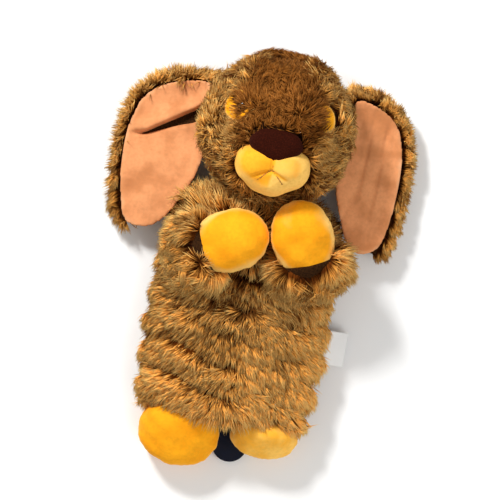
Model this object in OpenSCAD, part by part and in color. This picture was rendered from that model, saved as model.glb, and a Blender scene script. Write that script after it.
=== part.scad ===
// Lop-eared plush hand puppet, lying on its back with its face up and its arms folded on its chest.
// +Y runs from the feet to the crown, +X is the puppet's own left, +Z is up from the surface it lies on.
// All sizes are in millimetres. The layout is drawn about the chest, then centred over the origin.

/* [Fabric] */
// Thickness of the long-pile fur cloth, without its loose pile
fur_t = 3; // [2.5:0.5:4]
// Thickness of the short velour on the paws and feet
velour_t = 2; // [1.5:0.25:2.5]
// Thickness of the cotton that lines the glove
lining_t = 1.2; // [0.8:0.2:1.6]
// Space left between two layers that lie on each other
layer_gap = 0.2; // [0.1:0.1:0.4]
// Space left round a piece that moves on its seam
joint_gap = 0.5; // [0.4:0.1:1]

/* [Torso] */
// Length of the glove from its hem to the neck
torso_len = 160; // [140:1:192]
// Width of the glove at the belly
torso_w = 122; // [101.5:0.5:146]
// Height of the glove above the surface
torso_h = 37; // [36:1:45]
// Height of the side seams above the surface
seam_z = 15; // [12:1:18]
// Width of the facing that is turned in at the hem
facing_w = 10; // [8:1:14]
// Radius of the armhole that a finger passes through
armhole_r = 8.5; // [7.5:0.5:10]

/* [Neck] */
// Inner radius of the card tube for the index finger
finger_r = 10.5; // [9:0.1:12.6]
// Wall of the card tube
tube_wall = 1.5; // [1:0.25:2]
// Length of the card tube
tube_len = 50; // [42:1:58]
// Thickness of the gathered neck band
band_t = 3; // [2:0.5:4]
// Length of the neck band along the neck
band_len = 8; // [6:1:10]
// How far the neck and head stand to the puppet's left of its middle
lean = 5; // [0:1:6]

/* [Head] */
// Radius of the head without its pile
head_r = 50; // [41.5:0.5:58]
// Height of the head's middle above the surface
head_z = 40; // [36:1:44]
// Width of the dark strip that runs from the nose over the crown
gusset_w = 40; // [30:1:50]
// Distance from the face's middle to each eye
eye_offset = 26; // [23:1:29]
// Radius of each eye bead
eye_r = 4.5; // [4:0.5:6]
// Radius of the velour patch under each eye
patch_r = 11; // [9:0.5:13]

/* [Muzzle] */
// Width of the whole muzzle
muzzle_w = 53; // [45:1:62]
// Height of each cheek pad of the muzzle
muzzle_l = 31; // [26:1:36]
// Width of the nose pad
nose_w = 38; // [31:1:45]

/* [Ears] */
// Length of each ear from its root to its tip
ear_len = 113; // [94:1:130]
// Width of the right ear, which lies spread
right_ear_w = 60; // [52:1:70]
// Width of the left ear, which lies half curled
left_ear_w = 48; // [42:1:58]
// Slope of the ears down to the surface
ear_slope = 17; // [14:1:18]
// Thickness of an ear's fur side
ear_fur_t = 5; // [4:0.5:6]
// Thickness of an ear's velour lining
ear_lining_t = 2; // [1.5:0.5:3]

/* [Arms and feet] */
// Length of each paw
paw_len = 54; // [44:1:60]
// Width of each paw
paw_w = 43; // [35:1:48]
// Thickness of each paw
paw_t = 33; // [28:1:38]
// Distance from the right shoulder to the middle of its paw
right_arm_len = 34; // [30:1:38]
// Distance from the left shoulder, which is folded tighter, to the middle of its paw
left_arm_len = 28; // [25:1:32]
// Slope of each arm up from its shoulder
arm_slope = 16; // [12:1:20]
// Width of each fur sleeve
sleeve_w = 48; // [42:1:54]
// Thickness of each fur sleeve
sleeve_t = 32; // [28:1:36]
// Width of the right foot
foot_w = 58; // [48:1:64]
// Length of the right foot
foot_len = 48; // [42:1:56]
// Height of both feet
foot_h = 29; // [25:1:32]

/* [Label] */
// Width of the care label along the seam
label_w = 25; // [20:1:32]
// Length of the care label out of the seam
label_len = 24; // [20:1:30]
// Thickness of the folded label
label_t = 0.8; // [0.6:0.1:1.2]

/* [Hidden] */

LEFT = 1;
RIGHT = -1;
BIG = 400;      // larger than the puppet, for the half-spaces that cut it
soft_fn = 28;   // facets round the large soft forms
small_fn = 20;  // facets round the small soft forms
round_fn = 48;  // facets round true cylinders

fur_brown = [0.36, 0.21, 0.09];
fur_dark = [0.24, 0.13, 0.06];
velour_gold = [0.95, 0.60, 0.11];
velour_cream = [0.96, 0.72, 0.34];
ear_pink = [0.72, 0.40, 0.25];
cotton_navy = [0.02, 0.03, 0.07];

// Places along the puppet
neck_y = 46;
hem_y = neck_y - torso_len;
neck_z = torso_h / 2 + 1.5;
tube_y = neck_y + band_len / 2 + 3;

// Head and face
head_c = [lean, neck_y + head_r - 1, head_z];
eye_rise = 10;                          // eyes above the head's middle
muzzle_c = [lean + 1, neck_y + 21, head_z + 0.72 * head_r];
muzzle_top = 20;                        // half thickness of the muzzle pads
nose_c = [muzzle_c.x, muzzle_c.y + 0.46 * muzzle_l, muzzle_c.z + 14];
stitch_w = 1.2;

// Neck opening in the head, wide enough for the band to tilt in it, with the tube's mouth standing in it
recess_r = finger_r + tube_wall + band_t + 5;
// The recess ends a joint gap past where the card tube's underside has come inside the head's fur
recess_y = head_c.y + joint_gap - sqrt(pow(head_r - fur_t - layer_gap, 2)
    - pow(head_z - neck_z + finger_r + tube_wall + layer_gap, 2));
band_r = finger_r + tube_wall + layer_gap + joint_gap;

// Each arm rises from its shoulder, over its armhole, to a paw on the chest
paw_z = torso_h + joint_gap + norm([paw_len * sin(arm_slope), paw_t * cos(arm_slope)]) / 2;
wrist_x = -0.32 * paw_len;              // where the sleeve ends and the paw begins
root_drop = 8;                          // how far the sleeve's root hangs down to the torso
armhole_x = torso_w / 2 - 16;
armhole_y = -6;
right_shoulder = [1.5 - armhole_x, armhole_y - 0.3];
left_shoulder = [armhole_x + 1.7, armhole_y + 0.3];
paws_meet_x = 12.9;
paw_space = 2.1;                        // between the paws, where they come closest
least_turn = 20;                        // of arms that are too short for their paws to meet

// How far a paw reaches to the side of its middle, for the turn of its arm
function paw_reach(turn) =
    norm([norm([paw_len * cos(arm_slope), paw_t * sin(arm_slope)]) * cos(turn), paw_w * sin(turn)]) / 2;

// An arm whose paw just reaches the other: [paw's middle x, paw's middle y, turn, length]
function folded_arm(side, shoulder, usual_turn, length) = let (
    paw_x = paws_meet_x + side * (paw_space / 2 + paw_reach(usual_turn)),
    inward = acos(min(side * (shoulder.x - paw_x) / length, cos(least_turn))),
    turn = side > 0 ? 180 - inward : inward
) [shoulder.x + length * cos(turn), shoulder.y + length * sin(turn), turn, length];
right_arm = folded_arm(RIGHT, right_shoulder, 28, right_arm_len);
left_arm = folded_arm(LEFT, left_shoulder, 112, left_arm_len);

// Ears hang from a seam beside the head
ear_root_x = head_r + 1.5;
ear_root_z = 22;
ear_bead_r = ear_fur_t / 2;
ear_seam_len = 24;
ear_top_y = [head_c.y + 27, head_c.y + 35];     // right, left
shoulder_room = 8.4;            // between the torso's shoulders and the ears' edges beside them
function past_shoulder(side) =
    (torso_w / 2 - 8 + shoulder_room - side * lean - ear_root_x) / cos(ear_slope);

// Feet: [middle x, half width, half length, tip y]
foot_gap = 1.5;
foot_front = hem_y - foot_gap;
right_foot = [-27.5, foot_w / 2, foot_len / 2, foot_front - foot_len + 6];
left_foot = [34, foot_w / 2 - 5, foot_len / 2 - 9, foot_front - foot_len + 22];
flap_r = 13;
flap_len = 36;
flap_x = 10.5;
flap_t = 1.6;

// The side seam where the label is sewn in
label_y = hem_y + 59;
label_root = [torso_w / 2 + joint_gap + label_t, label_y, seam_z - 1];
label_slope = asin((label_root.z - label_t) / label_len);

// Middle of the whole puppet, which goes over the origin
ear_reach_right = ear_root_x + right_ear_w * cos(ear_slope);
ear_reach_left = ear_root_x + left_ear_w * cos(ear_slope);
middle_x = lean + (ear_reach_left - ear_reach_right) / 2;
middle_y = (head_c.y + head_r + right_foot[3]) / 2;

function reduced(semi, inset) = [semi.x - inset, semi.y - inset, semi.z - inset];

// A point of the head's surface, from its place beside and above the head's middle
function head_point(dx, dy) = head_c + [dx, dy, sqrt(head_r * head_r - dx * dx - dy * dy)];
function turn_to(n) = [0, acos(n.z), atan2(n.y, n.x)];

// A closed curve through the given points, with steps points on each stretch
function spline_point(p, q, r, s, t) =
    0.5 * ((2 * q) + (r - p) * t + (2 * p - 5 * q + 4 * r - s) * t * t + (3 * q - p - 3 * r + s) * t * t * t);
function smooth_loop(points, steps) = let (n = len(points)) [
    for (i = [0 : n - 1], k = [0 : steps - 1])
        spline_point(points[(i + n - 1) % n], points[i], points[(i + 1) % n], points[(i + 2) % n], k / steps)
];

module centred() {
    translate([-middle_x, -middle_y, 0]) children();
}

module above(z) {
    translate([-BIG / 2, -BIG / 2, z]) cube([BIG, BIG, BIG]);
}

module below(z) {
    translate([-BIG / 2, -BIG / 2, z - BIG]) cube([BIG, BIG, BIG]);
}

module ellipsoid(middle, semi, facets) {
    translate(middle) scale(semi) sphere(r = 1, $fn = facets);
}

// A cylinder along +Y whose near end is at the given point
module along_y(start, length, radius) {
    translate(start) rotate([-90, 0, 0]) cylinder(h = length, r = radius, $fn = round_fn);
}

// Half of space above a plane through the given point, tilted about Y
module above_slope(point, slope) {
    translate(point) rotate([0, slope, 0]) above(0);
}

// ---- Torso ----

// The glove's outer form, drawn in by inset, with a flat back. It runs past the hem and the neck.
module torso_form(inset) {
    rise = torso_h - seam_z;
    half = torso_w / 2;
    intersection() {
        hull() {
            ellipsoid([0, hem_y - 4, seam_z], reduced([half - 4, 14, rise], inset), soft_fn);
            ellipsoid([0, hem_y + 54, seam_z], reduced([half, 16, rise], inset), soft_fn);
            ellipsoid([0, neck_y - 48, seam_z], reduced([half - 2, 16, rise], inset), soft_fn);
            ellipsoid([0, neck_y - 20, seam_z], reduced([half - 8, 16, rise], inset), soft_fn);
            along_y([lean, neck_y - 10, neck_z], 12, band_r + band_t + 1.5 - inset);
        }
        above(inset);
    }
}

// The stretch of the glove from one distance along it to another
module torso_span(from, to) {
    translate([-BIG / 2, from, -BIG / 2]) cube([BIG, to - from, BIG]);
}

module torso_shell(outer, inner, from, to) {
    difference() {
        intersection() {
            torso_form(outer);
            torso_span(from, to);
        }
        torso_form(inner);
        armhole(LEFT);
        armhole(RIGHT);
    }
}

module armhole(side) {
    translate([side * armhole_x, armhole_y, seam_z])
        cylinder(h = torso_h + 4 - seam_z, r = armhole_r, $fn = round_fn);
}

torso_end = neck_y - band_len / 2 - joint_gap;
lining_out = fur_t + layer_gap;
lining_in = lining_out + lining_t;

module torso_front() {
    color(fur_brown) intersection() {
        torso_shell(0, fur_t, hem_y, torso_end);
        above(seam_z);
    }
}

module torso_back() {
    color(fur_brown) intersection() {
        torso_shell(0, fur_t, hem_y, torso_end);
        below(seam_z);
    }
}

module glove_lining() {
    color(cotton_navy) torso_shell(lining_out, lining_in, hem_y + facing_w, torso_end);
}

module hem_facing() {
    color(cotton_navy) torso_shell(lining_out, lining_in, hem_y, hem_y + facing_w - layer_gap);
}

// The rounded end of the lining that shows between the feet
module hem_flap() {
    color(cotton_navy) translate([flap_x, hem_y, 0]) linear_extrude(flap_t) {
        translate([-flap_r, flap_r - flap_len]) square([2 * flap_r, flap_len - flap_r]);
        translate([0, flap_r - flap_len]) circle(r = flap_r, $fn = round_fn);
    }
}

// ---- Neck ----

module neck_band() {
    color(fur_dark) difference() {
        along_y([lean, neck_y - band_len / 2, neck_z], band_len, band_r + band_t);
        along_y([lean, neck_y - band_len, neck_z], 2 * band_len, band_r);
    }
}

module finger_tube() {
    color([0.72, 0.62, 0.45]) difference() {
        along_y([lean, tube_y, neck_z], tube_len, finger_r + tube_wall);
        along_y([lean, tube_y - 1, neck_z], tube_len + 2, finger_r);
    }
}

// ---- Head ----

module head_form(inset) {
    intersection() {
        translate(head_c) sphere(r = head_r - inset, $fn = 128);
        above(inset);
    }
}

// What leaves the head open at the neck
module neck_recess() {
    along_y([lean, 0, neck_z], recess_y, recess_r);
}

module head_shell() {
    difference() {
        head_form(0);
        head_form(fur_t);
        neck_recess();
        for (side = [LEFT, RIGHT]) eye_shank(side, layer_gap / 2);
    }
}

// Height where the cheeks are sewn to the back of the head
head_seam_z = 2 * seam_z;

module head_gusset() {
    color(fur_dark) intersection() {
        head_shell();
        translate([head_c.x - gusset_w / 2, -BIG / 2, head_seam_z]) cube([gusset_w, BIG, BIG]);
    }
}

module head_cheek(side) {
    color(fur_brown) intersection() {
        head_shell();
        translate([head_c.x + (side > 0 ? gusset_w / 2 : -gusset_w / 2 - BIG), -BIG / 2, head_seam_z])
            cube([BIG, BIG, BIG]);
    }
}

module head_back() {
    color(fur_brown) intersection() {
        head_shell();
        below(head_seam_z);
    }
}

module head_stuffing() {
    color("white") difference() {
        head_form(fur_t + layer_gap);
        neck_recess();
        along_y([lean, neck_y, neck_z], tube_y + tube_len - neck_y + layer_gap, finger_r + tube_wall + layer_gap);
        for (side = [LEFT, RIGHT]) {
            eye_shank(side, layer_gap);
            at_eye(side) translate([0, 0, -washer_depth - washer_t - layer_gap])
                cylinder(h = washer_depth + washer_t, r = washer_r + layer_gap, $fn = round_fn);
        }
    }
}

// ---- Eyes ----

washer_r = 7;
washer_t = 1.6;
// A flat washer's rim meets the round shell first
washer_depth = head_r - sqrt(pow(head_r - fur_t, 2) - washer_r * washer_r) + layer_gap;
shank_r = 2;
shank_len = washer_depth + washer_t + 4;
patch_t = 2.5;
patch_shift = 3.5;      // the patches stand further out than the eyes

// Sets children on the head's surface at an eye, or further out from it, with +Z outwards
module at_eye(side, further = 0) {
    seat = head_point(side * (eye_offset + further), eye_rise);
    translate(seat) rotate(turn_to((seat - head_c) / head_r)) children();
}

module eye_shank(side, grown) {
    at_eye(side) translate([0, 0, -shank_len - grown])
        cylinder(h = shank_len + grown, r = shank_r + grown, $fn = round_fn);
}

module eye(side) {
    color([0.02, 0.02, 0.02]) at_eye(side) {
        difference() {
            translate([0, 0, 1]) sphere(r = eye_r, $fn = round_fn);
            translate([-eye_r * 2, -eye_r * 2, -eye_r * 4 + 0.6]) cube(eye_r * 4);
        }
        translate([0, 0, -shank_len]) cylinder(h = shank_len + 1, r = shank_r, $fn = round_fn);
    }
}

module eye_washer(side) {
    color("white") at_eye(side) translate([0, 0, -washer_depth - washer_t]) difference() {
        cylinder(h = washer_t, r = washer_r, $fn = round_fn);
        translate([0, 0, -1]) cylinder(h = washer_t + 2, r = shank_r + layer_gap / 2, $fn = round_fn);
    }
}

module eye_patch(side) {
    color(velour_gold) difference() {
        at_eye(side, patch_shift) translate([0, 0, -patch_t])
            cylinder(h = 2 * patch_t, r = patch_r, $fn = round_fn);
        head_form(-layer_gap / 2);
        at_eye(side) translate([0, 0, -1]) cylinder(h = 2 * patch_t, r = eye_r + layer_gap, $fn = round_fn);
    }
}

// ---- Muzzle ----

module cheek_pad_form(side, grown) {
    half = muzzle_w / 4 + 1;
    ellipsoid([muzzle_c.x + side * (muzzle_w / 2 - half), muzzle_c.y, muzzle_c.z],
        reduced([half, muzzle_l / 2, muzzle_top], -grown), soft_fn);
}

module nose_form(grown) {
    corner = nose_w / 5;
    hull() {
        for (side = [LEFT, RIGHT])
            ellipsoid([nose_c.x + side * (nose_w / 2 - corner), nose_c.y + 4, nose_c.z - 1],
                reduced([corner, corner, 7], -grown), small_fn);
        ellipsoid([nose_c.x, nose_c.y - 5, nose_c.z], reduced([corner, corner, 7], -grown), small_fn);
    }
}

module muzzle_pad(side) {
    color(side > 0 ? velour_cream : velour_gold) difference() {
        cheek_pad_form(side, 0);
        head_form(-layer_gap);
        nose_form(layer_gap);
        translate([muzzle_c.x - (side > 0 ? BIG : 0) + side * layer_gap / 2, -BIG / 2, -BIG / 2])
            cube([BIG, BIG, BIG]);
        mouth_slot();
    }
}

module muzzle_chin() {
    color(velour_cream) difference() {
        ellipsoid([muzzle_c.x, muzzle_c.y - 0.4 * muzzle_l, muzzle_c.z - 3],
            [muzzle_w / 4 + 2, 9, muzzle_top - 2], soft_fn);
        head_form(-layer_gap);
        for (side = [LEFT, RIGHT]) cheek_pad_form(side, layer_gap);
        mouth_slot();
    }
}

module nose_pad() {
    color([0.12, 0.03, 0.02]) difference() {
        nose_form(0);
        head_form(-layer_gap);
    }
}

// The sewn line below the nose and the two that part from it under the cheek pads
module mouth_lines(width) {
    branch = [9, -0.3 * muzzle_l];
    translate([-width / 2, -2]) square([width, 5]);
    for (side = [LEFT, RIGHT]) {
        rotate([0, 0, atan2(branch.y, side * branch.x)])
            translate([0, -width / 2]) square([norm(branch), width]);
        translate([side * branch.x, branch.y]) circle(r = width / 2, $fn = small_fn);
    }
}

module mouth_slot() {
    translate([muzzle_c.x, muzzle_c.y - 3, muzzle_c.z + 9 - layer_gap])
        linear_extrude(BIG) mouth_lines(stitch_w + 2 * layer_gap);
}

module mouth_stitching() {
    color([0.25, 0.12, 0.05]) translate([muzzle_c.x, muzzle_c.y - 3, muzzle_c.z + 9])
        linear_extrude(stitch_w) mouth_lines(stitch_w);
}

// ---- Ears ----

// An ear's outline: its seam lies on the Y axis, +X runs outwards and the tip is at the bottom. inset_out draws
// its outer edge in, and inset_in the edge beside the head and the tip. Beside the shoulder it keeps clear of it.
function ear_outline(side, inset_out, inset_in) = let (
    width = side > 0 ? left_ear_w : right_ear_w,
    w = width - inset_out, l = ear_len - inset_in, n = inset_in,
    beside_shoulder = 0.26 * w + max(0, past_shoulder(side) - 0.26 * width)
) smooth_loop([
        [n, -inset_out], [n, -ear_seam_len], [n, -0.44 * l], [0.08 * w + n, -0.62 * l], [beside_shoulder + n, -0.8 * l],
        [0.48 * w, -0.93 * l], [0.68 * w, -0.99 * l], [0.86 * w, -0.96 * l], [0.96 * w, -0.82 * l],
        [w, -0.6 * l], [0.98 * w, -0.36 * l], [0.84 * w, -0.16 * l - inset_out / 2],
        [0.5 * w, -0.03 * l - inset_out]
    ], 4);

// Sets children in an ear's own plane, which slopes down to the surface from the seam
module at_ear(side) {
    translate([lean + side * ear_root_x, ear_top_y[side > 0 ? 1 : 0], ear_root_z])
        mirror([side > 0 ? 0 : 1, 0, 0]) rotate([0, ear_slope, 0]) children();
}

module ear_fur(side) {
    color(fur_brown) at_ear(side) {
        translate([0, 0, -ear_fur_t / 2]) linear_extrude(ear_fur_t)
            polygon(ear_outline(side, 0, 0));
        along_y([0, -ear_seam_len, 0], ear_seam_len, ear_bead_r);
    }
}

// The lining reaches the edge beside the head, clear of the seam's bead, and leaves a rim of fur round the rest
module ear_lining(side) {
    color(ear_pink) at_ear(side) translate([0, 0, ear_fur_t / 2]) linear_extrude(ear_lining_t)
        polygon(ear_outline(side, 7, 2));
}

// ---- Arms ----

function arm_of(side) = side > 0 ? left_arm : right_arm;

// Sets children on an arm, with its paw's middle at the origin and +X running on from the shoulder
module at_arm(side) {
    arm = arm_of(side);
    translate([arm[0], arm[1], paw_z]) rotate([0, -arm_slope, arm[2]]) children();
}

module sleeve_form(side, inset) {
    hull() {
        ellipsoid([-arm_of(side)[3], 0, -root_drop], reduced([13, sleeve_w / 2, sleeve_t / 2], inset), soft_fn - 4);
        ellipsoid([wrist_x, 0, 0], reduced([12, sleeve_w / 2 - 3, sleeve_t / 2 - 1], inset), soft_fn - 4);
    }
}

// Where the torso's widest part slopes 4 in 5 of the way to its side, a plane rests on it
module above_torso(side) {
    half = torso_w / 2;
    rise = torso_h - seam_z;
    above_slope([side * 0.8 * half, 0, seam_z + 0.6 * rise + joint_gap], side * atan(rise * 0.8 / (half * 0.6)));
}

// The sleeve is hollow for a finger. It opens down to the armhole, and the paw closes its end.
module sleeve(side) {
    color(fur_brown) intersection() {
        difference() {
            at_arm(side) intersection() {
                difference() {
                    sleeve_form(side, 0);
                    sleeve_form(side, fur_t);
                }
                translate([wrist_x - BIG, -BIG / 2, -BIG / 2]) cube(BIG);
            }
            armhole(side);
        }
        above_torso(side);
    }
}

// A paw ends flat at the wrist, and is convex
module paw_form(inset) {
    hull() intersection() {
        ellipsoid([0, 0, 0], reduced([paw_len / 2, paw_w / 2, paw_t / 2], inset), soft_fn);
        translate([wrist_x + layer_gap + inset, -BIG / 2, -BIG / 2]) cube(BIG);
    }
}

module paw_shell() {
    difference() {
        paw_form(0);
        paw_form(velour_t);
    }
}

module paw_palm(side) {
    color(velour_gold) at_arm(side) intersection() {
        paw_shell();
        above(0);
    }
}

module paw_back(side) {
    color(velour_gold) at_arm(side) intersection() {
        paw_shell();
        below(0);
    }
}

module paw_stuffing(side) {
    color("white") at_arm(side) paw_form(velour_t + layer_gap);
}

// ---- Feet ----

function foot_of(side) = side > 0 ? left_foot : right_foot;

// A foot rises from its toe, which rests on the lining's end, to its seam at the front of the hem
module foot_form(side, inset) {
    foot = foot_of(side);
    intersection() {
        hull() {
            ellipsoid([foot[0], foot[3] + foot[2], foot_h / 2 - 1],
                reduced([foot[1], foot[2], foot_h / 2 + 1], inset), soft_fn - 4);
            ellipsoid([foot[0], foot_front - 8, torso_h - 12], reduced([foot[1] - 6, 8, 9], inset), soft_fn - 4);
        }
        above(flap_t + layer_gap + inset);
        torso_span(-BIG, foot_front - inset);
    }
}

module foot_shell(side) {
    difference() {
        foot_form(side, 0);
        foot_form(side, velour_t);
    }
}

sole_z = 9;

module foot_upper(side) {
    color(velour_gold) intersection() {
        foot_shell(side);
        above(sole_z);
    }
}

module foot_sole(side) {
    color(velour_cream) intersection() {
        foot_shell(side);
        below(sole_z);
    }
}

module foot_stuffing(side) {
    color("white") foot_form(side, velour_t + layer_gap);
}

// ---- Label ----

module care_label() {
    color("white") translate(label_root) rotate([0, label_slope, 0])
        translate([0, -label_w / 2, -label_t / 2]) cube([label_len, label_w, label_t]);
}

centred() {
    torso_front();
    torso_back();
    glove_lining();
    hem_facing();
    hem_flap();
    neck_band();
    head_gusset();
    head_cheek(LEFT);  // head_cheek_left
    head_cheek(RIGHT);  // head_cheek_right
    head_back();
    head_stuffing();
    finger_tube();
    muzzle_pad(LEFT);  // muzzle_left
    muzzle_pad(RIGHT);  // muzzle_right
    muzzle_chin();
    nose_pad();
    mouth_stitching();
    eye_patch(LEFT);  // eye_patch_left
    eye_patch(RIGHT);  // eye_patch_right
    eye(LEFT);  // eye_left
    eye(RIGHT);  // eye_right
    eye_washer(LEFT);  // eye_washer_left
    eye_washer(RIGHT);  // eye_washer_right
    ear_fur(LEFT);  // ear_fur_left
    ear_fur(RIGHT);  // ear_fur_right
    ear_lining(LEFT);  // ear_lining_left
    ear_lining(RIGHT);  // ear_lining_right
    sleeve(LEFT);  // sleeve_left
    sleeve(RIGHT);  // sleeve_right
    paw_palm(LEFT);  // paw_palm_left
    paw_palm(RIGHT);  // paw_palm_right
    paw_back(LEFT);  // paw_back_left
    paw_back(RIGHT);  // paw_back_right
    paw_stuffing(LEFT);  // paw_stuffing_left
    paw_stuffing(RIGHT);  // paw_stuffing_right
    foot_upper(LEFT);  // foot_upper_left
    foot_upper(RIGHT);  // foot_upper_right
    foot_sole(LEFT);  // foot_sole_left
    foot_sole(RIGHT);  // foot_sole_right
    foot_stuffing(LEFT);  // foot_stuffing_left
    foot_stuffing(RIGHT);  // foot_stuffing_right
    care_label();
}
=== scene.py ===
"""Looks of the plush hand puppet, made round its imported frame.

Everything is in metres in the frame's own axes: +X is the puppet's left, +Y runs to the crown, +Z is up off
the surface that it lies on. Pile is made of real locks, stuffed pieces are blown up as cloth from their CAD
forms, and hard pieces keep their CAD meshes.
"""

import math

import bmesh
import bpy
import numpy as np
from mathutils import Matrix, Vector, kdtree


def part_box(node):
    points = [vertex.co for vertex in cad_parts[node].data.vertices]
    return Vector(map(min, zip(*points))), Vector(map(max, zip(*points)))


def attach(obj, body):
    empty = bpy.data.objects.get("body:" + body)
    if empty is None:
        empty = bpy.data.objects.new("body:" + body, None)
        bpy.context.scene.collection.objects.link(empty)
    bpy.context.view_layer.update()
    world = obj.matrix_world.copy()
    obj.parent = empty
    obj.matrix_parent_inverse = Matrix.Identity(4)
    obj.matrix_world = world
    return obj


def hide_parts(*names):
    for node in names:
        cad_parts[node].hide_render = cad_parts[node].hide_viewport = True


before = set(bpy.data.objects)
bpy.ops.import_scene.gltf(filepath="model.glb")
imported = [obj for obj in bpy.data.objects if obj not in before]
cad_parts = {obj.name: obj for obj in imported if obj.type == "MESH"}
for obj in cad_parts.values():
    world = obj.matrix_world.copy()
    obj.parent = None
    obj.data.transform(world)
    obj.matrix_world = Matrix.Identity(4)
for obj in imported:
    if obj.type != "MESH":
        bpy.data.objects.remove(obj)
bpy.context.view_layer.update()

MM = 0.001
FLOOR_Z = -3.5 * MM     # the pile of the back is pressed flat between the puppet and the floor
LEFT, RIGHT = 1, -1
SIDES = {"left": LEFT, "right": RIGHT}
BAKE_MAP = "OFBake"     # lays the pile out by tone across and by height up
LOCK_HEIGHTS = (0.26, 0.60, 0.92)       # where a lock has its root, middle and tip colours


# ---- Finishes ----

class Wire:
    """A shader socket. Python's operators on it add Math nodes to its finish."""

    def __init__(self, finish, socket):
        self.finish, self.socket = finish, socket

    def math(self, operation, *others):
        return self.finish.add("ShaderNodeMath", {"operation": operation}, self, *others)["Value"]

    def reflected(self, operation, other):
        return self.finish.add("ShaderNodeMath", {"operation": operation}, other, self)["Value"]

    def __add__(self, other):
        return self.math("ADD", other)

    def __sub__(self, other):
        return self.math("SUBTRACT", other)

    def __mul__(self, other):
        return self.math("MULTIPLY", other)

    def __rsub__(self, other):
        return self.reflected("SUBTRACT", other)

    __radd__, __rmul__ = __add__, __mul__

    def between(self, low, high):
        """0 below low, 1 above high, and smooth between them."""
        return self.finish.add("ShaderNodeMapRange", {"interpolation_type": "SMOOTHSTEP"},
                               self, low, high, 0.0, 1.0)["Result"]


class Part:
    """A node of a finish, whose outputs are read by name or number."""

    def __init__(self, finish, node):
        self.finish, self.node = finish, node

    def __getitem__(self, output):
        return Wire(self.finish, self.node.outputs[output])


class Finish:
    """A node-based material for one kind of surface."""

    def __init__(self, name, **shader):
        self.material = bpy.data.materials.new(name)
        self.material.use_nodes = True
        self.tree = self.material.node_tree
        self.tree.nodes.clear()
        output = self.tree.nodes.new("ShaderNodeOutputMaterial")
        self.shader = self.add("ShaderNodeBsdfPrincipled", {}, **shader).node
        self.tree.links.new(self.shader.outputs["BSDF"], output.inputs["Surface"])

    def add(self, kind, settings, *values, **named):
        """Adds a node, applies its settings, then links or sets its inputs in order and by name."""
        node = self.tree.nodes.new(kind)
        for key, value in settings.items():
            if key == "stops":
                self.set_stops(node.color_ramp, value)
            else:
                setattr(node, key, value)
        by_name = [(key.replace("_", " "), value) for key, value in named.items()]
        for key, value in list(enumerate(values)) + by_name:
            if isinstance(value, Wire):
                self.tree.links.new(value.socket, node.inputs[key])
            elif value is not None:
                node.inputs[key].default_value = value
        return Part(self, node)

    @staticmethod
    def set_stops(ramp, stops):
        while len(ramp.elements) < len(stops):
            ramp.elements.new(0.5)
        for element, (place, colour) in zip(ramp.elements, stops):
            element.position = place
            element.color = (*colour, 1)

    def feed(self, name, wire):
        self.tree.links.new(wire.socket, self.shader.inputs[name])

    def ramp(self, factor, *stops):
        return self.add("ShaderNodeValToRGB", {"stops": stops}, factor)["Color"]

    def mixed(self, factor, first, second):
        """Two colours, each a wire or a tuple, mixed by a factor."""
        part = self.add("ShaderNodeMix", {"data_type": "RGBA", "clamp_factor": True}, factor)
        for place, colour in ((6, first), (7, second)):
            if isinstance(colour, Wire):
                self.tree.links.new(colour.socket, part.node.inputs[place])
            else:
                part.node.inputs[place].default_value = (*colour, 1)
        return part[2]

    def place(self):
        return self.add("ShaderNodeTexCoord", {})["Object"]

    def noise(self, scale, detail=2.0):
        """Noise of scale cells a metre on the piece's own coordinates, from 0 to 1."""
        return self.add("ShaderNodeTexNoise", {}, self.place(), Scale=scale, Detail=detail)["Fac"]

    def attribute(self, name):
        return self.add("ShaderNodeAttribute", {"attribute_name": name})["Fac"]

    def bump(self, height, distance, strength=1.0):
        self.feed("Normal", self.add("ShaderNodeBump", {}, Strength=strength, Distance=distance,
                                     Height=height)["Normal"])


def pile_finish(name, dark, light):
    """Tipped pile. dark and light hold a lock's root, middle and tip colours, for the two ends of its tone."""
    finish = Finish(name, Roughness=0.75, Specular_IOR_Level=0.05)
    lay = finish.add("ShaderNodeUVMap", {"uv_map": BAKE_MAP})["UV"]
    axes = finish.add("ShaderNodeSeparateXYZ", {}, lay)
    colours = [finish.ramp(axes["Y"], *zip(LOCK_HEIGHTS, tones)) for tones in (dark, light)]
    finish.feed("Base Color", finish.mixed(axes["X"], *colours))
    return finish.material


def backing_finish(name, colour):
    """Knitted backing that shows between the roots of the pile."""
    finish = Finish(name, Roughness=0.95, Specular_IOR_Level=0.1)
    knit = finish.noise(900.0, 3.0)
    deep = tuple(0.35 * c for c in colour)
    finish.feed("Base Color", finish.mixed(knit.between(0.3, 0.7), deep, colour))
    finish.bump(knit, 0.4 * MM)
    return finish.material


def velour_finish(name, deep, full, pale, pile=0.35, sheen=0.3):
    """Short pile brushed this way and that. A piece's attribute holds painted sheen: it turns the velour to
    its pale side.
    """
    finish = Finish(name, Roughness=0.85, Specular_IOR_Level=0.15, Sheen_Weight=sheen,
                    Sheen_Roughness=0.35, Sheen_Tint=(*pale, 1))
    brushed = finish.noise(55.0, 3.0)
    fuzz = finish.noise(1500.0, 2.0)
    grain = finish.noise(420.0, 4.0)
    colour = finish.mixed(brushed.between(0.32, 0.62), deep, full)
    # Painted sheen from the piece's attribute, made uneven by noise, turns the colour to the pale side.
    rim = finish.attribute("rim") + (brushed - 0.5) * 0.5 + (grain - 0.5) * 0.35
    colour = finish.mixed(rim.between(0.25, 1.0), colour, pale)
    shaded = tuple(0.55 * c for c in full)
    colour = finish.mixed(grain.between(0.35, 0.75) * 0.25, colour, shaded)
    finish.feed("Base Color", colour)
    finish.bump(fuzz * 0.6 + grain * 0.8, pile * MM, 0.7)
    return finish.material


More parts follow.
